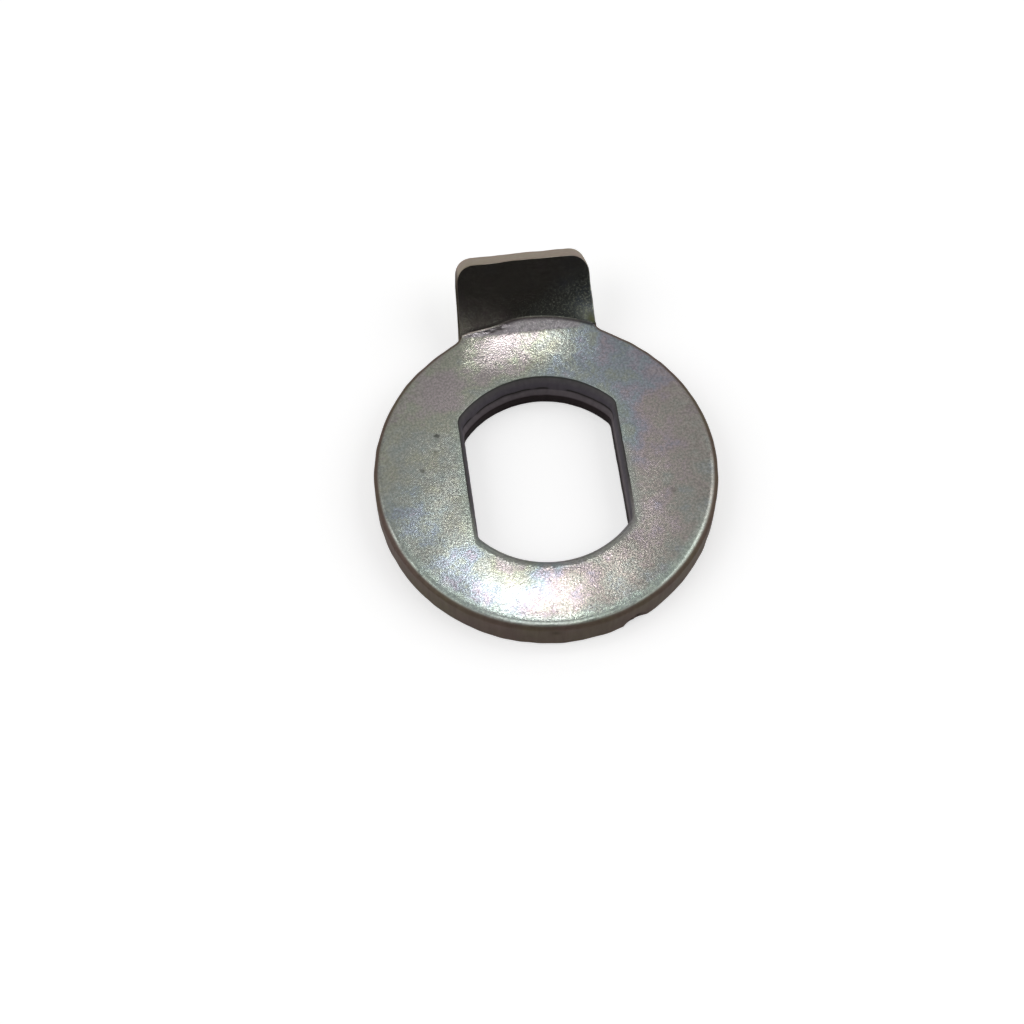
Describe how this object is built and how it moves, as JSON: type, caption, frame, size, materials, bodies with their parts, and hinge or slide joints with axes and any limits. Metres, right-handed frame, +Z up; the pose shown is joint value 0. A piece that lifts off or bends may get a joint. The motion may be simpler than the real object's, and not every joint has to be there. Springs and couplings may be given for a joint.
{
  "type": "lock washer",
  "caption": "Thick punched steel washer with a double-D hole for a flatted axle and one tab bent up at 45 degrees that locks in a slot.",
  "frame": {"origin": "on the resting plane, under the middle of the footprint; the double-D hole's centre is at y -2.397 mm", "axes": "+Z up through the hole, +Y from the ring towards the bent tab, +X across the two flats of the hole"},
  "size_m": [0.023, 0.0278, 0.0055],
  "materials": {
    "plated_steel": "zinc plate with a clear, faintly iridescent passivation: grey-olive with soft violet, pink and yellow mottling, fine grain and small pits"
  },
  "bodies": {
    "root": {"lock_washer": "plated_steel"}
  },
  "joints": []
}
